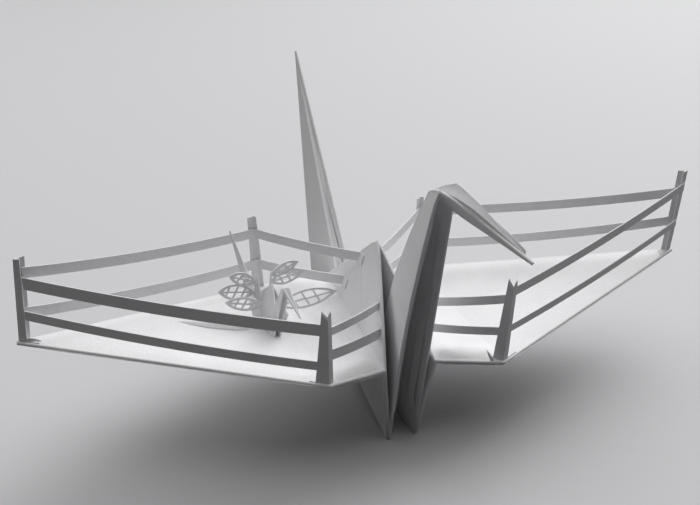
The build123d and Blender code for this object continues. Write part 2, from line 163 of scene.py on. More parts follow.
FINISHES = (
    PaperFinish(Stock.SHEET, (0.84, 0.84, 0.85), (0.70, 0.70, 0.72), fibre_mm=0.32, cloud_mm=9.0,
                cloud_share=0.30, grain_depth_mm=0.030, cockle_depth_mm=0.20, roughness=0.86, sheen=0.08),
    PaperFinish(Stock.STRIP, (0.82, 0.82, 0.83), (0.66, 0.66, 0.68), fibre_mm=0.26, cloud_mm=6.0,
                cloud_share=0.32, grain_depth_mm=0.025, cockle_depth_mm=0.10, roughness=0.88, sheen=0.06),
    PaperFinish(Stock.FINE, (0.80, 0.80, 0.81), (0.62, 0.62, 0.64), fibre_mm=0.18, cloud_mm=2.4,
                cloud_share=0.34, grain_depth_mm=0.018, cockle_depth_mm=0.05, roughness=0.88, sheen=0.06),
)


class PaperEffects:
    """The node groups that the papers share, each built once."""

    def __init__(self) -> None:
        """Build both groups."""
        self.fibre = self._fibre_group()
        self.wear = self._wear_group()

    @staticmethod
    def place(tree: bpy.types.NodeTree, group: bpy.types.NodeTree,
              values: dict[str, float]) -> bpy.types.Node:
        """Put a group into a material.

        Args:
            tree: the material's node tree.
            group: the shared group.
            values: what this material sets on the group's inputs.

        Returns:
            The group node.
        """
        node = tree.nodes.new("ShaderNodeGroup")
        node.node_tree = group
        for name, value in values.items():
            node.inputs[name].default_value = value
        return node

    @staticmethod
    def _shell(name: str, size_name: str,
               outputs: tuple[str, ...]) -> tuple[bpy.types.NodeTree, bpy.types.Node, bpy.types.Node]:
        """Start a group that measures its pattern in millimetres.

        Args:
            name: the group's name.
            size_name: the input that holds the pattern's size.
            outputs: the names of its outputs.

        Returns:
            The group, its output node and the scaled place.
        """
        group = bpy.data.node_groups.new(name, "ShaderNodeTree")
        face = group.interface
        face.new_socket("Place", in_out="INPUT", socket_type="NodeSocketVector")
        face.new_socket(size_name, in_out="INPUT", socket_type="NodeSocketFloat")
        for output in outputs:
            face.new_socket(output, in_out="OUTPUT", socket_type="NodeSocketFloat")
        entry = group.nodes.new("NodeGroupInput")
        leave = group.nodes.new("NodeGroupOutput")
        per_metre = group.nodes.new("ShaderNodeMath")
        per_metre.operation = "DIVIDE"
        per_metre.inputs[0].default_value = 1 / MM
        scaled = group.nodes.new("ShaderNodeVectorMath")
        scaled.operation = "SCALE"
        group.links.new(entry.outputs[size_name], per_metre.inputs[1])
        group.links.new(entry.outputs["Place"], scaled.inputs[0])
        group.links.new(per_metre.outputs["Value"], scaled.inputs["Scale"])
        return group, leave, scaled

    @staticmethod
    def _noise(group: bpy.types.NodeTree, source: bpy.types.NodeSocket, scale: float, detail: float,
               distortion: float) -> bpy.types.NodeSocket:
        """Add one noise to a group.

        Args:
            group: the group it goes into.
            source: the vector that it is read at.
            scale: features per unit of that vector.
            detail: its octaves.
            distortion: how far it is bent.

        Returns:
            The noise's value, from 0 to 1.
        """
        cells = group.nodes.new("ShaderNodeTexNoise")
        cells.inputs["Scale"].default_value = scale
        cells.inputs["Detail"].default_value = detail
        cells.inputs["Distortion"].default_value = distortion
        group.links.new(source, cells.inputs["Vector"])
        return cells.outputs["Fac"]

    def _fibre_group(self) -> bpy.types.NodeTree:
        """Long fibres that cross in two directions, and the flecks between them.

        Returns:
            The group, with the outputs Fibres and Flecks.
        """
        group, leave, scaled = self._shell("paper_fibre", "Fibre mm", ("Fibres", "Flecks"))
        nodes, links = group.nodes, group.links
        runs = []
        for turns, stretch in FIBRE_LAYS:
            lay = nodes.new("ShaderNodeMapping")
            lay.inputs["Rotation"].default_value = turns
            lay.inputs["Scale"].default_value = stretch
            links.new(scaled.outputs["Vector"], lay.inputs["Vector"])
            runs.append(self._noise(group, lay.outputs["Vector"], scale=0.8, detail=3.0, distortion=0.6))
        both = nodes.new("ShaderNodeMath")
        both.operation = "ADD"
        links.new(runs[0], both.inputs[0])
        links.new(runs[1], both.inputs[1])
        crossed = nodes.new("ShaderNodeMapRange")
        crossed.inputs["From Min"].default_value = 0.7
        crossed.inputs["From Max"].default_value = 1.3
        links.new(both.outputs["Value"], crossed.inputs["Value"])
        links.new(crossed.outputs["Result"], leave.inputs["Fibres"])
        fleck = nodes.new("ShaderNodeMapRange")
        fleck.inputs["From Min"].default_value = 0.62
        fleck.inputs["From Max"].default_value = 0.75
        fleck.inputs["To Max"].default_value = 0.35
        specks = self._noise(group, scaled.outputs["Vector"], scale=0.45, detail=2.0, distortion=0.2)
        links.new(specks, fleck.inputs["Value"])
        links.new(fleck.outputs["Result"], leave.inputs["Flecks"])
        return group

    def _wear_group(self) -> bpy.types.NodeTree:
        """The clouds that fingers leave, and the shallow cockle of a sheet that was folded.

        Returns:
            The group, with the outputs Clouds and Cockle.
        """
        group, leave, scaled = self._shell("paper_wear", "Cloud mm", ("Clouds", "Cockle"))
        cloud = group.nodes.new("ShaderNodeMapRange")
        cloud.inputs["From Min"].default_value = 0.35
        cloud.inputs["From Max"].default_value = 0.75
        smudges = self._noise(group, scaled.outputs["Vector"], scale=0.9, detail=4.0, distortion=0.4)
        group.links.new(smudges, cloud.inputs["Value"])
        group.links.new(cloud.outputs["Result"], leave.inputs["Clouds"])
        cockle = self._noise(group, scaled.outputs["Vector"], scale=1.0, detail=1.0, distortion=0.0)
        group.links.new(cockle, leave.inputs["Cockle"])
        return group


class PaperStore:
    """Every paper's material, and how a piece is given one."""

    def __init__(self) -> None:
        """Build the shared groups and all the papers."""
        effects = PaperEffects()
        self.materials = {finish.stock: finish.build(effects) for finish in FINISHES}

    def dress(self, piece: bpy.types.Object, stock: Stock) -> None:
        """Give a piece its paper on every slot it has.

        Args:
            piece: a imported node, or a new piece.
            stock: which paper.
        """
        if not piece.material_slots:
            piece.data.materials.append(self.materials[stock])
        for slot in piece.material_slots:
            slot.link = "OBJECT"
            slot.material = self.materials[stock]

    def add(self, name: str, bm: bmesh.types.BMesh, stock: Stock) -> bpy.types.Object:
        """Turn a finished mesh into a piece of paper that rides on the crane.

        Args:
            name: the piece's name.
            bm: its mesh, which is freed.
            stock: which paper it is made of.

        Returns:
            The new piece.
        """
        for face in bm.faces:
            face.smooth = True
        mesh = bpy.data.meshes.new(name)
        bm.to_mesh(mesh)
        bm.free()
        piece = bpy.data.objects.new(name, mesh)
        bpy.context.scene.collection.objects.link(piece)
        self.dress(piece, stock)
        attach(piece, "root")
        return piece


# Thin sheets whose edges show

@dataclass(frozen=True)
class EdgeProfile:
    """What a thin sheet looks like across a fold, and how it comes and goes along it.

    The section's points are (out, up) in millimetres: out from the fold's line, and up along
    the surface's normal. The sheet is closed by its own thickness.
    """

    section: tuple[tuple[float, float], ...]
    thickness: float                            # mm
    taper: tuple[float, float] = (0.0, 0.0)     # mm over which each end fades into the fold
    waver: float = 0.0                          # mm
    step: float = 0.8                           # mm between cross sections
    least: float = 0.02                         # share of the section that is left at a faded end

    def share(self, at: float, whole: float) -> float:
        """How much of the section shows at a place.

        Args:
            at: how far along the fold the place is, in millimetres.
            whole: the fold's length, in millimetres.

        Returns:
            The share, up to 1.
        """
        share = 1.0
        if self.taper[0]:
            share = min(share, at / self.taper[0])
        if self.taper[1]:
            share = min(share, (whole - at) / self.taper[1])
        return math.sin(max(self.least, share) * math.pi / 2)

    def outline(self) -> list[tuple[float, float]]:
        """Go round the sheet's cross section.

        Returns:
            The points of its upper face, then those of its lower face back to the start.
        """
        upper, lower = [], []
        for index, (out, up) in enumerate(self.section):
            before = self.section[max(index - 1, 0)]
            after = self.section[min(index + 1, len(self.section) - 1)]
            run = Vector((after[0] - before[0], after[1] - before[1])).normalized() * (self.thickness / 2)
            upper.append((out - run.y, up + run.x))
            lower.append((out + run.y, up - run.x))
        return upper + lower[::-1]


@dataclass(frozen=True)
class EdgeSheet:
    """A thin sheet that lies along a fold."""

    name: str
    stock: Stock
    line: tuple[Vector, ...]        # the fold's line, in metres
    inward: Vector                  # in the surface, away from the edge
    normal: Vector                  # out of the surface
    profile: EdgeProfile
    seed: float                     # its own place in the noise that it wavers by
    waver_turns: float = 0.11       # steps of that noise per millimetre
    waver_level: float = 0.3

    def _stations(self) -> list[tuple[Vector, float]]:
        """Divide the line into short lengths.

        Returns:
            Places along the line, each with how far along it is in millimetres.
        """
        places, gone = [], 0.0
        for start, end in zip(self.line, self.line[1:]):
            length = (end - start).length / MM
            count = max(2, round(length / self.profile.step))
            for i in range(count):
                places.append((start.lerp(end, i / count), gone + length * i / count))
            gone += length
        places.append((self.line[-1].copy(), gone))
        return places

    def build(self, store: PaperStore) -> bpy.types.Object:
        """Make the sheet, dress it and put it on the crane's body.

        Args:
            store: where its paper comes from.

        Returns:
            The new object.
        """
        outline, stations = self.profile.outline(), self._stations()
        inward, normal = self.inward.normalized(), self.normal.normalized()
        bm = bmesh.new()
        rows = []
        for place, at in stations:
            share = self.profile.share(at, stations[-1][1]) * MM
            spot = Vector((at * self.waver_turns, self.seed, self.waver_level))
            sway = noise.noise(spot) * self.profile.waver
            rows.append([bm.verts.new(place - inward * ((out + sway) * share) + normal * (up * share))
                         for out, up in outline])
        for one, two in zip(rows, rows[1:]):
            for i in range(len(outline)):
                j = (i + 1) % len(outline)
                bm.faces.new((one[i], one[j], two[j], two[i]))
        bm.faces.new(rows[0][::-1])
        bm.faces.new(rows[-1])
        bmesh.ops.recalc_face_normals(bm, faces=bm.faces)
        piece = store.add(self.name, bm, self.stock)
        rounding = piece.modifiers.new("round", "SUBSURF")
        rounding.levels = rounding.render_levels = 1
        return piece


# The body and the wings

@dataclass(frozen=True)
class Body:
    """The raised back and the flanks under it, with the layers that show at their ends."""

    peak: Point = (-0.42, -8.31, 34.6)
    root_reach: float = 17.4        # end of a wing fold from the peak, along the crane
    root_gap: float = 4.7           # wing fold from the middle plane
    root_height: float = 18.3
    foot_reach: float = 14.5
    foot_gap: float = 2.6
    foot_height: float = 0.6        # where a flank's layer ends
    wall: float = 0.5
    inset: float = 0.30             # share of the wall by which the layers lie under its face
    back_layer: EdgeProfile = EdgeProfile(((-1.3, 0.0), (-0.6, 0.0), (0.1, 0.0), (0.45, 0.0)), 0.1,
                                          taper=(2.5, 2.0), waver=0.16)
    flank_layer: EdgeProfile = EdgeProfile(((-1.3, 0.0), (-0.6, 0.0), (0.1, 0.0), (0.45, 0.0)), 0.1,
                                           taper=(2.0, 1.5), waver=0.14)

    def root(self, side: int, end: int) -> Point:
        """Where a wing fold ends, for a side (-1 right, 1 left) and an end (-1 front, 1 back)."""
        return self.peak[0] + side * self.root_gap, self.peak[1] + end * self.root_reach, self.root_height

    def foot(self, side: int, end: int) -> Point:
        """Where a flank's corner comes down, for the same two."""
        return self.peak[0] + side * self.foot_gap, self.peak[1] + end * self.foot_reach, self.foot_height

    def build(self, store: PaperStore) -> list[bpy.types.Object]:
        """Make the layers that stand inside the four sloping edges of the back and those of the flanks.

        Args:
            store: where their paper comes from.

        Returns:
            The new pieces.
        """
        pieces = []
        for side, side_name in ((-1, "right"), (1, "left")):
            slope = Vector((side * (self.peak[2] - self.root_height), 0, self.root_gap)).normalized()
            upright = Vector((side, 0, 0))
            for end, end_name in ((-1, "front"), (1, "back")):
                root, foot = mm(*self.root(side, end)), mm(*self.foot(side, end))
                for name, top, low, normal, profile, turn in (
                        ("back", mm(*self.peak), root, slope, self.back_layer, 2.0),
                        ("flank", root, foot, upright, self.flank_layer, 3.0)):
                    inset = -normal * (self.wall * self.inset * MM)
                    inward = square_to(Vector((0, -end, 0)), (low - top).normalized())
                    pieces.append(EdgeSheet(f"{name}_{side_name}_{end_name}_layer", Stock.SHEET,
                                            (top + inset, low + inset), inward, normal, profile,
                                            seed=side * turn + end).build(store))
        return pieces


@dataclass(frozen=True)
class RolledEdge:
    """The short edge of a wing between its root and its corner, where the sheet swells before it ends."""

    root: Point
    corner: Point
    far_corner: Point
    reach: float = 7.0              # mm into the wing over which the sheet swells
    swell: float = 0.85             # mm at the highest
    lean: float = 1.6               # over 1, the highest line is nearer to the edge than the middle
    fade: float = 2.6               # mm at both ends over which it comes back to the flat
    skin: float = 0.7               # how far the sheet's faces lie from its middle, mm
    past_ends: float = 0.6          # mm beyond both ends that still belong to the strip
    past_edge: float = 0.8          # mm beyond the edge that still belong to it
    flatness: float = 0.5           # least cosine between the wing and a face that is cut
    lengths: int = 12
    cuts: tuple[float, ...] = (1.0, 0.84, 0.70, 0.58, 0.48, 0.39, 0.31, 0.23, 0.15, 0.08, 0.03)

    @property
    def length(self) -> float:
        """The edge's length, in millimetres."""
        return (mm(*self.corner) - mm(*self.root)).length / MM

    def axes(self) -> tuple[Vector, Vector, Vector]:
        """Find the edge's own directions.

        Returns:
            Along the edge, into the wing, and up out of it.
        """
        along = (mm(*self.corner) - mm(*self.root)).normalized()
        inward = square_to(mm(*self.far_corner) - mm(*self.root), along)
        up = along.cross(inward)
        return along, inward, up if up.z > 0 else -up

    def rise(self, at: float, depth: float) -> float:
        """How far the sheet swells at a place.

        Args:
            at: how far the place is along the edge, in millimetres.
            depth: how far it is into the wing, in millimetres.

        Returns:
            The rise, in millimetres.
        """
        ends = max(0.0, min(1.0, at / self.fade, (self.length - at) / self.fade))
        near = max(0.0, min(1.0, 1 - depth / self.reach))
        return self.swell * math.sin(math.pi * near ** self.lean) * math.sin(ends * math.pi / 2)

    def line(self, steps: int = 16) -> tuple[Vector, ...]:
        """The edge, divided into a number of equal steps."""
        return tuple(mm(*self.root).lerp(mm(*self.corner), i / steps) for i in range(steps + 1))

    def bend(self, bm: bmesh.types.BMesh, weld: float) -> None:
        """Cut the sheet along and across beside the edge, and let it swell.

        Args:
            bm: the whole sheet.
            weld: how close two points are one, in metres.
        """
        along, inward, up = self.axes()
        start, whole = mm(*self.root), self.length * MM

        def near(vert: bmesh.types.BMVert) -> bool:
            """Tell whether a point is in the strip beside the edge.

            Args:
                vert: the point.

            Returns:
                Whether it is.
            """
            spot = vert.co - start
            return (-self.past_ends * MM < spot.dot(along) < whole + self.past_ends * MM
                    and abs(spot.dot(up)) < self.skin * MM
                    and -self.past_edge * MM < spot.dot(inward) < self.reach * GRACE * MM)

        lengthwise = [(inward, start + inward * (self.reach * share * MM)) for share in self.cuts]
        across = [(along, start + along * (whole * i / self.lengths)) for i in range(1, self.lengths)]
        for normal, place in lengthwise + across:
            faces = [face for face in bm.faces if abs(face.normal.dot(up)) > self.flatness
                     and any(near(vert) for vert in face.verts)]
            cut(bm, faces, weld, normal, place)
        for vert in bm.verts:
            if near(vert):
                spot = (vert.co - start) / MM
                vert.co += up * (self.rise(spot.dot(along), spot.dot(inward)) * MM)


@dataclass(frozen=True)
class Wing:
    """One wing of the large crane: its points in millimetres, as they are packed."""

    side: str
    tip: Point
    front: Point
    back: Point
    root_front: Point
    root_back: Point
    roll: EdgeProfile = EdgeProfile(
        ((-1.8, -0.25), (-1.1, -0.43), (-0.4, -0.55), (0.10, -0.50), (0.34, -0.39)), 0.16,
        taper=(2.0, 2.4), waver=0.10, step=1.2)
    layer: EdgeProfile = EdgeProfile(
        ((-1.6, -0.18), (-0.8, -0.22), (0.1, -0.20), (0.42, -0.16), (0.50, -0.12)), 0.1,
        taper=(3.0, 6.0), waver=0.10)

    def _normal(self) -> Vector:
        """The normal of the wing's outer part, upwards."""
        up = (mm(*self.front) - mm(*self.tip)).cross(mm(*self.back) - mm(*self.tip)).normalized()
        return up if up.z > 0 else -up

    def edges(self) -> tuple[RolledEdge, RolledEdge]:
        """The two short edges between the root and the corners, front and back."""
        return (RolledEdge(self.root_front, self.front, self.back),
                RolledEdge(self.root_back, self.back, self.front))

    def rolls(self) -> list[EdgeSheet]:
        """Lay a layer under each short edge, where the sheet rolls down.

        Returns:
            The front roll and the back roll.
        """
        sheets = []
        for which, ahead, edge, seed in zip(("front", "back"), (1, -1), self.edges(), (1.7, 4.2)):
            line = edge.line()
            along = (line[-1] - line[0]).normalized()
            inward = square_to(Vector((0, ahead, 0)), along)
            normal = along.cross(inward)
            sheets.append(EdgeSheet(f"{self.side}_wing_{which}_roll", Stock.SHEET, line, inward,
                                    normal if normal.z > 0 else -normal, self.roll, seed))
        return sheets

    def layers(self) -> list[EdgeSheet]:
        """Lay a layer under the top one, where it shows along the long edges.

        Returns:
            The front and the back layer.
        """
        sheets = []
        tip = mm(*self.tip)
        middle = (mm(*self.front) + mm(*self.back) + tip) / 3
        for which, corner, seed in (("front", mm(*self.front), 2.3), ("back", mm(*self.back), 6.1)):
            inward = square_to(middle - corner, (tip - corner).normalized())
            sheets.append(EdgeSheet(f"{self.side}_wing_{which}_layer", Stock.SHEET, (corner, tip), inward,
                                    self._normal(), self.layer, seed))
        return sheets

    def build(self, store: PaperStore) -> list[bpy.types.Object]:
        """Make this wing's rolls and layers.

        Args:
            store: where their paper comes from.

        Returns:
            The new pieces.
        """
        return [sheet.build(store) for sheet in self.rolls() + self.layers()]


BODY = Body()
KEEL = (-0.42, -8.31, 2.4)              # where the spines of the neck and the tail meet
NAPE = (1.98, -26.03, 52.18)            # where the head's spine leaves the neck's
RIGHT_CROWN = (1.47, -30.74, 55.0)      # where a rim of the neck turns into one of the head
LEFT_CROWN = (4.83, -29.63, 55.24)
BEAK_TIP = (10.11, -46.25, 48.5)
TAIL_TIP = (-0.42, 46.19, 53.93)
RIGHT_RIM_FOOT = (-2.99, -22.81, 0.3)   # where a rim of the neck starts
LEFT_RIM_FOOT = (2.15, -22.81, 0.3)


# The neck

@dataclass(frozen=True)
class NeckRim:
    """One rim of the neck, from the foot to the crown."""

    name: str
    low: Point
    high: Point
    swell: float                    # how far its middle stands to one side, mm
    inner: int                      # the side its inner face looks to: 1 left, -1 right


@dataclass(frozen=True)
class Neck:
    """The neck's second layer, which stands inside each rim."""

    rims: tuple[NeckRim, ...] = (NeckRim("right", RIGHT_RIM_FOOT, RIGHT_CROWN, -1.1, 1),
                                 NeckRim("left", LEFT_RIM_FOOT, LEFT_CROWN, 0.0, -1))
    spine_bow: Point = (-1.1, 2.0, 0.0)     # how far the spine's middle stands off its straight line
    first: float = 0.06                     # share of the rim at which the layer starts
    covered: float = 0.86                   # share of the rim that it covers
    steps: int = 24
    profile: EdgeProfile = EdgeProfile(
        ((-3.4, 0.32), (-2.2, 0.40), (-1.5, 0.52), (-1.1, 0.72), (-0.95, 0.95)), 0.12,
        taper=(6.0, 4.0), waver=0.35, step=2.4)

    def build(self, store: PaperStore) -> list[bpy.types.Object]:
        """Make the inner layer of both walls of the neck.

        Args:
            store: where their paper comes from.

        Returns:
            The new pieces.
        """
        pieces = []
        spine = (mm(*KEEL) + mm(*NAPE)) / 2 + mm(*self.spine_bow)
        for rim in self.rims:
            low, high = mm(*rim.low), mm(*rim.high)
            shares = [self.first + self.covered * i / self.steps for i in range(self.steps + 1)]
            line = tuple(low.lerp(high, share) + mm(rim.swell * math.sin(math.pi * share), 0, 0)
                         for share in shares)
            along = (line[-1] - line[0]).normalized()
            inward = square_to(spine - line[len(line) // 2], along)
            normal = along.cross(inward)
            normal = normal if normal.x * rim.inner > 0 else -normal
            pieces.append(EdgeSheet(f"neck_{rim.name}_inner_layer", Stock.SHEET, line, inward, normal,
                                    self.profile, seed=rim.inner * 5.0).build(store))
        return pieces


# The large sheet, bent a little more than its solid is

@dataclass(frozen=True)
class SoftCorner:
    """A folded corner whose point has gone soft: the sheet round it is drawn in a little."""

    point: Point
    arms: tuple[Point, ...]         # where the folds that meet there lead to
    reach: float                    # mm
    depth: float                    # mm at the very corner
    cuts: tuple[float, ...] = (1.0, 0.75, 0.54, 0.36, 0.22, 0.10)       # shares of the reach

    def soften(self, bm: bmesh.types.BMesh, weld: float) -> None:
        """Cut the faces round the corner and draw them in.

        Args:
            bm: the whole sheet.
            weld: how close two points are one, in metres.
        """
        corner, reach = mm(*self.point), self.reach * MM
        runs = [(mm(*arm) - corner).normalized() for arm in self.arms]
        for run in runs:
            for share in self.cuts:
                faces = [face for face in bm.faces
                         if any((vert.co - corner).length < reach * GRACE for vert in face.verts)]
                cut(bm, faces, weld, run, corner + run * (reach * share))
        into = sum(runs, Vector()).normalized()
        for vert in bm.verts:
            near = 1 - (vert.co - corner).length / reach
            if near > 0:
                vert.co += into * (self.depth * near * near * MM)


@dataclass(frozen=True)
class FoldedPoint:
    """A long folded point of the sheet, two walls from a spine, which isn't quite straight.

    Its walls are cut into short lengths across and drawn over by moves that are nothing where
    the point leaves the body and nothing at its tip.
    """

    tip: Point
    spine: Point                    # where the spine leaves the body
    rims: tuple[Point, Point]       # where the two rims leave it
    spine_move: Point               # mm, before it fades towards the tip
    rim_moves: tuple[Point, Point]
    settle: float                   # share of the length over which the moves come in
    slices: int
    reach: float = 0.8              # how far the sheet's own faces lie from a wall's plane, mm
    tip_share: float = 1e-4         # nearer to the tip than this, a point is on neither wall
    body_grace: float = 0.02        # share of the length before the body that still belongs to a wall
    rim_grace: float = 0.25         # share of the width past the spine and the rim that does

    def _place(self, spot: Vector) -> tuple[int, float, float, float]:
        """Where a point lies on the nearer wall.

        Args:
            spot: the point, in metres.

        Returns:
            The wall, the share from the body to the tip, the share from the spine to the rim, and how far
            the point is from the wall's plane in millimetres.
        """
        tip, spine = mm(*self.tip), mm(*self.spine)
        best = (0, 0.0, 0.0, math.inf)
        for wall, rim in enumerate(self.rims):
            fold, across = spine - tip, mm(*rim) - spine
            square = fold.cross(across).normalized()
            basis = Matrix((fold, across, square)).transposed()
            along, aside, off = basis.inverted() @ (spot - tip)
            if along > self.tip_share and abs(off) / MM < best[3]:
                best = (wall, 1 - along, aside / along, abs(off) / MM)
        return best

    def _holds(self, spot: Vector) -> bool:
        """Whether a place is on one of the walls."""
        _, along, across, off = self._place(spot)
        return off < self.reach and along > -self.body_grace and -self.rim_grace < across < 1 + self.rim_grace

    def _move(self, spot: Vector) -> Vector:
        """How a point of the walls moves.

        Args:
            spot: the point, in metres.

        Returns:
            The move, in metres.
        """
        wall, along, across, _ = self._place(spot)
        rise = max(0.0, min(1.0, along / self.settle))
        rise = rise * rise * (3 - 2 * rise)
        across = max(0.0, min(1.0, across))
        move = mm(*self.spine_move).lerp(mm(*self.rim_moves[wall]), across)
        return move * (rise * max(0.0, 1 - along))

    def bend(self, bm: bmesh.types.BMesh, weld: float) -> None:
        """Cut the long faces across and move them.

        Args:
            bm: the whole sheet.
            weld: how close two points are one, in metres.
        """
        tip, spine = mm(*self.tip), mm(*self.spine)
        across = (mm(*self.rims[0]) - spine).cross(mm(*self.rims[1]) - spine).normalized()
        for i in range(1, self.slices):
            faces = [face for face in bm.faces if all(self._holds(vert.co) for vert in face.verts)]
            cut(bm, faces, weld, across, spine.lerp(tip, i / self.slices))
        moves = [(vert, self._move(vert.co)) for vert in bm.verts if self._holds(vert.co)]
        for vert, move in moves:
            vert.co += move


@dataclass(frozen=True)
class LargeSheet:
    """The large folded sheet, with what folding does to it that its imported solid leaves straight."""

    edges: tuple[RolledEdge, ...]
    node: str = "folded_crane"
    name: str = "crane_sheet"
    tail: FoldedPoint = FoldedPoint(
        tip=TAIL_TIP, spine=KEEL, rims=((-2.99, 6.19, -0.25), (2.15, 6.19, -0.25)),
        spine_move=(-3.8, 0.0, 0.0), rim_moves=((-5.2, 0.0, 0.0), (-5.2, 0.0, 0.0)), settle=0.30, slices=24)
    head: FoldedPoint = FoldedPoint(
        tip=BEAK_TIP, spine=NAPE, rims=(RIGHT_CROWN, LEFT_CROWN), spine_move=(0.0, 0.0, -0.6),
        rim_moves=((0.0, 0.0, 1.2), (0.0, 0.0, 0.9)), settle=0.45, slices=14)
    corners: tuple[SoftCorner, ...] = (
        SoftCorner(RIGHT_CROWN, (RIGHT_RIM_FOOT, BEAK_TIP), reach=4.2, depth=0.65),
        SoftCorner(LEFT_CROWN, (LEFT_RIM_FOOT, BEAK_TIP), reach=3.4, depth=0.55),
        SoftCorner(BODY.peak, (BODY.root(-1, -1), BODY.root(-1, 1), BODY.root(1, -1), BODY.root(1, 1)),
                   reach=2.6, depth=0.45),
    )
    sharp: float = 24.0             # folds sharper than this stay crisp, degrees
    weld: float = 2e-8              # m

    def build(self, store: PaperStore) -> bpy.types.Object:
        """Make the whole sheet again with its folds bent and softened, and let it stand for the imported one.

        Args:
            store: where its paper comes from.

        Returns:
            The new sheet.
        """
        bm = bmesh.new()
        bm.from_mesh(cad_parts[self.node].data)
        bmesh.ops.remove_doubles(bm, verts=bm.verts, dist=self.weld)
        for point in (self.tail, self.head):
            point.bend(bm, self.weld)
        for corner in self.corners:
            corner.soften(bm, self.weld)
        for edge in self.edges:
            edge.bend(bm, self.weld)
        piece = store.add(self.name, bm, Stock.SHEET)
        if "custom_normal" in piece.data.attributes:
            piece.data.attributes.remove(piece.data.attributes["custom_normal"])
        piece.data.set_sharp_from_angle(angle=math.radians(self.sharp))
        even = piece.modifiers.new("even", "WEIGHTED_NORMAL")
        even.keep_sharp = True
        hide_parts(self.node)
        return piece


# Small ends of paper

@dataclass(frozen=True)
class LooseEdge:
    """A crease, a sliver or a small end of paper that stands up from the rest."""

    name: str
    stock: Stock
    points: tuple[Point, ...]
    out: Point                      # the way it stands out
    on_sheet: bool                  # whether its line is brought down onto the large sheet
    profile: EdgeProfile
    seed: float
    above: float = 0.8              # how far out its line is before it is brought down, mm

    def build(self, store: PaperStore, sheet: bpy.types.Object) -> bpy.types.Object:
        """Make this end of paper.

        Args:
            store: where its paper comes from.
            sheet: the large sheet, which its line may lie on.

        Returns:
            The new piece.
        """
        line = tuple(mm(*point) for point in self.points)
        out = Vector(self.out)
        if self.on_sheet:
            line = tuple(sheet.closest_point_on_mesh(spot + out * (self.above * MM))[1] for spot in line)
        along = (line[-1] - line[0]).normalized()
        normal = square_to(out, along)
        inward = normal.cross(along)
        return EdgeSheet(self.name, self.stock, line, inward if inward.y > 0 else -inward, normal,
                         self.profile, self.seed).build(store)


LOOSE_EDGES = (
    LooseEdge("back_right_crease", Stock.SHEET,
              ((-2.0, -3.9, 29.1), (-2.77, -6.21, 26.46), (-3.8, -9.24, 22.89), (-4.61, -11.63, 20.07)),
              (-0.96, 0.0, 0.28), True,
              EdgeProfile(((-0.60, -0.04), (-0.2, 0.06), (0.0, 0.16), (0.2, 0.06), (0.60, -0.04)), 0.05,
                          taper=(3.0, 2.0), waver=0.2, step=0.5), seed=22.1),
    LooseEdge("right_wing_sliver", Stock.FINE,
              ((-37.76, -3.7, 21.9), (-36.1, -4.8, 21.6), (-34.42, -5.7, 21.4), (-32.7, -6.4, 21.15),
               (-30.94, -6.9, 20.85), (-28.08, -7.4, 20.5), (-25.1, -7.5, 20.05)),
              (0.184, 0.082, 0.980), True,
              EdgeProfile(((-0.75, 0.85), (-0.25, 0.55), (0.35, 0.08)), 0.14,
                          taper=(7.0, 2.0), waver=0.6, step=0.5), seed=22.1),
    LooseEdge("left_front_spike", Stock.STRIP, ((14.9, -28.0, 16.9), (13.4, -27.6, 20.0)),
              (0.2, -1.0, 0.2), False,
              EdgeProfile(((-0.4, 0.0), (0.0, 0.08), (0.4, 0.0)), 0.14,
                          taper=(0.0, 3.4), step=0.5), seed=20.8),
    LooseEdge("right_tip_flap", Stock.STRIP,
              ((-65.1, -9.9, 27.45), (-63.4, -10.0, 27.15), (-61.2, -10.0, 26.8)),
              (0.1, 0.25, 1.0), True,
              EdgeProfile(((-0.1, 0.0), (0.35, 0.05), (0.6, 0.35), (0.66, 0.75)), 0.14,
                          taper=(1.0, 1.6), waver=0.25, step=0.5), seed=18.2),
    LooseEdge("beak_left_layer", Stock.SHEET, ((6.4, -34.6, 53.2), (9.65, -44.8, 49.1)),
              (-0.75, -0.35, 0.30), False,
              EdgeProfile(((0.75, 0.05), (0.1, 0.05), (-0.6, 0.05)), 0.16,
                          taper=(10.5, 0.5), step=0.5), seed=19.5),
)


@dataclass(frozen=True)
class Crane:
    """The whole object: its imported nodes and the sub-assemblies that dress them."""

    wings: tuple[Wing, ...] = (
        Wing("right", tip=(-65.22, -9.92, 27.16), front=(-16.15, -28.42, 19.48), back=(-18.68, 11.81, 16.6),
             root_front=BODY.root(-1, -1), root_back=BODY.root(-1, 1)),
        Wing("left", tip=(64.7, -8.31, 20.91), front=(16.67, -28.46, 16.94), back=(15.96, 11.85, 14.55),
             root_front=BODY.root(1, -1), root_back=BODY.root(1, 1)),
    )
    neck: Neck = Neck()
    loose_edges: tuple[LooseEdge, ...] = LOOSE_EDGES

    @staticmethod
    def stock_of(node: str) -> Stock:
        """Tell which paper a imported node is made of.

        Args:
            node: its name.

        Returns:
            The paper.
        """
        if node.endswith(("_post", "_rail")):
            return Stock.STRIP
        return Stock.FINE if node.startswith("small") else Stock.SHEET

    def build(self, store: PaperStore) -> None:
        """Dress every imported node, then add the folded edges.

        Args:
            store: where the papers come from.
        """
        for name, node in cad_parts.items():
            store.dress(node, self.stock_of(name))
            log.info("dressed %s in %s", name, self.stock_of(name).value)
        sheet = LargeSheet(tuple(edge for wing in self.wings for edge in wing.edges())).build(store)
        made = [sheet, *(piece for wing in self.wings for piece in wing.build(store))]
        made += BODY.build(store)
        made += self.neck.build(store)
        bpy.context.view_layer.update()         # before it, no point can be looked for on the new sheet
        made += [edge.build(store, sheet) for edge in self.loose_edges]
        for piece in made:
            log.info("added %s", piece.name)


# Camera, lamps and floor

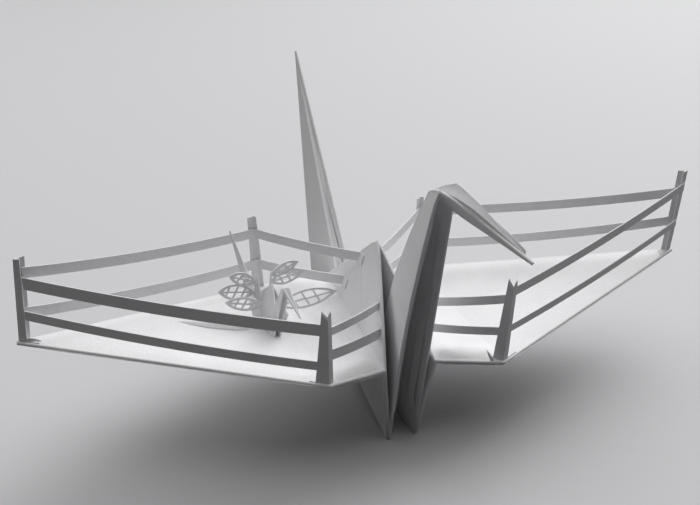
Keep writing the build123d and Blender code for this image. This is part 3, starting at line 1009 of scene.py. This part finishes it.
@dataclass(frozen=True)
class Camera:
    """The photograph's viewpoint, with angles in degrees and lengths in millimetres."""

    target: Point = (-5.807, -8.307, 33.02)
    azimuth: float = -17.98
    elevation: float = 29.41
    roll: float = -0.37
    distance: float = 175.86
    lens: float = 49.37
    nearest: float = 5.0
    farthest: float = 50000.0

    def build(self) -> None:
        """Make the camera and hand it to the scene."""
        turn, lift, roll = (math.radians(angle) for angle in (self.azimuth, self.elevation, self.roll))
        back = Vector((math.sin(turn) * math.cos(lift), -math.cos(turn) * math.cos(lift), math.sin(lift)))
        right = Vector((math.cos(turn), math.sin(turn), 0))
        up = back.cross(right)
        level = right * math.cos(roll) + up * math.sin(roll)
        upright = -right * math.sin(roll) + up * math.cos(roll)
        lens = bpy.data.cameras.new("photo_camera")
        lens.lens = self.lens
        lens.clip_start = self.nearest * MM
        lens.clip_end = self.farthest * MM
        camera = bpy.data.objects.new("photo_camera", lens)
        spot = mm(*self.target) + back * (self.distance * MM)
        turned = Matrix((level, upright, back)).transposed().to_4x4()
        camera.matrix_world = Matrix.Translation(spot) @ turned
        bpy.context.scene.collection.objects.link(camera)
        bpy.context.scene.camera = camera


@dataclass(frozen=True)
class SoftBox:
    """One large soft lamp near the crane."""

    name: str
    place: Point
    size: float                     # mm
    power: float                    # W

    def build(self, aim: Vector) -> None:
        """Make the lamp.

        Args:
            aim: the point it faces.
        """
        lamp = bpy.data.lights.new(self.name, "AREA")
        lamp.shape = "DISK"
        lamp.size = self.size * MM
        lamp.energy = self.power
        body = bpy.data.objects.new(self.name, lamp)
        body.location = mm(*self.place)
        body.rotation_euler = (aim - body.location).to_track_quat("-Z", "Y").to_euler()
        bpy.context.scene.collection.objects.link(body)


@dataclass(frozen=True)
class BroadLight:
    """The broad light from above and behind, as from a wide window far away, with angles in degrees."""

    strength: float = 1.95
    lift: float = 64.0
    turn: float = 155.0
    width: float = 100.0

    def build(self) -> None:
        """Make the lamp."""
        lamp = bpy.data.lights.new("broad_light", "SUN")
        lamp.energy = self.strength
        lamp.angle = math.radians(self.width)
        body = bpy.data.objects.new("broad_light", lamp)
        turn, lift = math.radians(self.turn), math.radians(self.lift)
        towards = Vector((math.sin(turn) * math.cos(lift), -math.cos(turn) * math.cos(lift), math.sin(lift)))
        body.rotation_euler = (-towards).to_track_quat("-Z", "Y").to_euler()
        bpy.context.scene.collection.objects.link(body)


@dataclass(frozen=True)
class Studio:
    """Floor, lamps and the pale room round the crane."""

    broad_light: BroadLight = BroadLight()
    boxes: tuple[SoftBox, ...] = (
        SoftBox("back_box", (340, 230, 430), 460, 1.66),
        SoftBox("left_box", (-400, 280, 260), 300, 0.36),
        SoftBox("right_box", (350, -200, 160), 200, 0.04),
    )
    aim: Point = (0.0, -8.0, 20.0)
    room: float = 0.03                                                  # light of the dim room
    floor_side: float = 8000.0                                          # mm
    floor_colour: tuple[float, float, float] = (0.62, 0.62, 0.632)
    floor_bounce: tuple[float, float, float] = (0.20, 0.20, 0.205)      # what it sends back to the paper
    background: tuple[float, float, float] = (0.362, 0.366, 0.371)      # as the floor looks far away

    def build(self) -> None:
        """Make the floor, the lamps and the world, and set the view."""
        self._floor()
        self.broad_light.build()
        self._world()
        for box in self.boxes:
            box.build(mm(*self.aim))
        bpy.context.scene.view_settings.view_transform = "Standard"

    @staticmethod
    def _mix(tree: bpy.types.NodeTree, lights: bpy.types.NodeSocket, shows: bpy.types.NodeSocket,
             out: bpy.types.NodeSocket) -> None:
        """Let the floor or the room light the paper in one way and be seen in another.

        The camera's own rays see it, and so do those that gloss or glass sends on.

        Args:
            tree: the node tree of the floor or of the room.
            lights: the shader that the paper gets its light from.
            shows: the shader that is seen.
            out: the socket that takes both.
        """
        path = tree.nodes.new("ShaderNodeLightPath")
        seen = path.outputs["Is Camera Ray"]
        for kind in ("Is Glossy Ray", "Is Transmission Ray"):
            either = tree.nodes.new("ShaderNodeMath")
            either.operation = "MAXIMUM"
            tree.links.new(seen, either.inputs[0])
            tree.links.new(path.outputs[kind], either.inputs[1])
            seen = either.outputs["Value"]
        mix = tree.nodes.new("ShaderNodeMixShader")
        tree.links.new(seen, mix.inputs["Fac"])
        tree.links.new(lights, mix.inputs[1])
        tree.links.new(shows, mix.inputs[2])
        tree.links.new(mix.outputs["Shader"], out)

    def _floor(self) -> None:
        """A plain pale table top, even all over."""
        half = self.floor_side * MM / 2
        corners = [(-half, -half, 0), (half, -half, 0), (half, half, 0), (-half, half, 0)]
        mesh = bpy.data.meshes.new("floor")
        mesh.from_pydata(corners, [], [(0, 1, 2, 3)])
        floor = bpy.data.objects.new("floor", mesh)
        bpy.context.scene.collection.objects.link(floor)
        material = bpy.data.materials.new("table_top")
        material.use_nodes = True
        nodes = material.node_tree.nodes
        nodes.clear()
        out = nodes.new("ShaderNodeOutputMaterial")
        shows, bounced = nodes.new("ShaderNodeBsdfDiffuse"), nodes.new("ShaderNodeBsdfDiffuse")
        shows.inputs["Color"].default_value = (*self.floor_colour, 1)
        bounced.inputs["Color"].default_value = (*self.floor_bounce, 1)
        self._mix(material.node_tree, bounced.outputs["BSDF"], shows.outputs["BSDF"], out.inputs["Surface"])
        floor.data.materials.append(material)

    def _world(self) -> None:
        """A dim room that the camera sees as a pale one."""
        world = bpy.data.worlds.new("room")
        bpy.context.scene.world = world
        world.use_nodes = True
        nodes = world.node_tree.nodes
        nodes.clear()
        out = nodes.new("ShaderNodeOutputWorld")
        dim, pale = nodes.new("ShaderNodeBackground"), nodes.new("ShaderNodeBackground")
        dim.inputs["Color"].default_value = (1, 1, 1, 1)
        dim.inputs["Strength"].default_value = self.room
        pale.inputs["Color"].default_value = (*self.background, 1)
        pale.inputs["Strength"].default_value = 1.0
        self._mix(world.node_tree, dim.outputs["Background"], pale.outputs["Background"],
                  out.inputs["Surface"])


def main() -> None:
    """Build the crane and its studio."""
    logging.basicConfig(level=logging.INFO, format="%(name)s: %(message)s")
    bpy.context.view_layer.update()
    Camera().build()
    store = PaperStore()
    Crane().build(store)
    Studio().build()


if __name__ == "__main__":
    main()
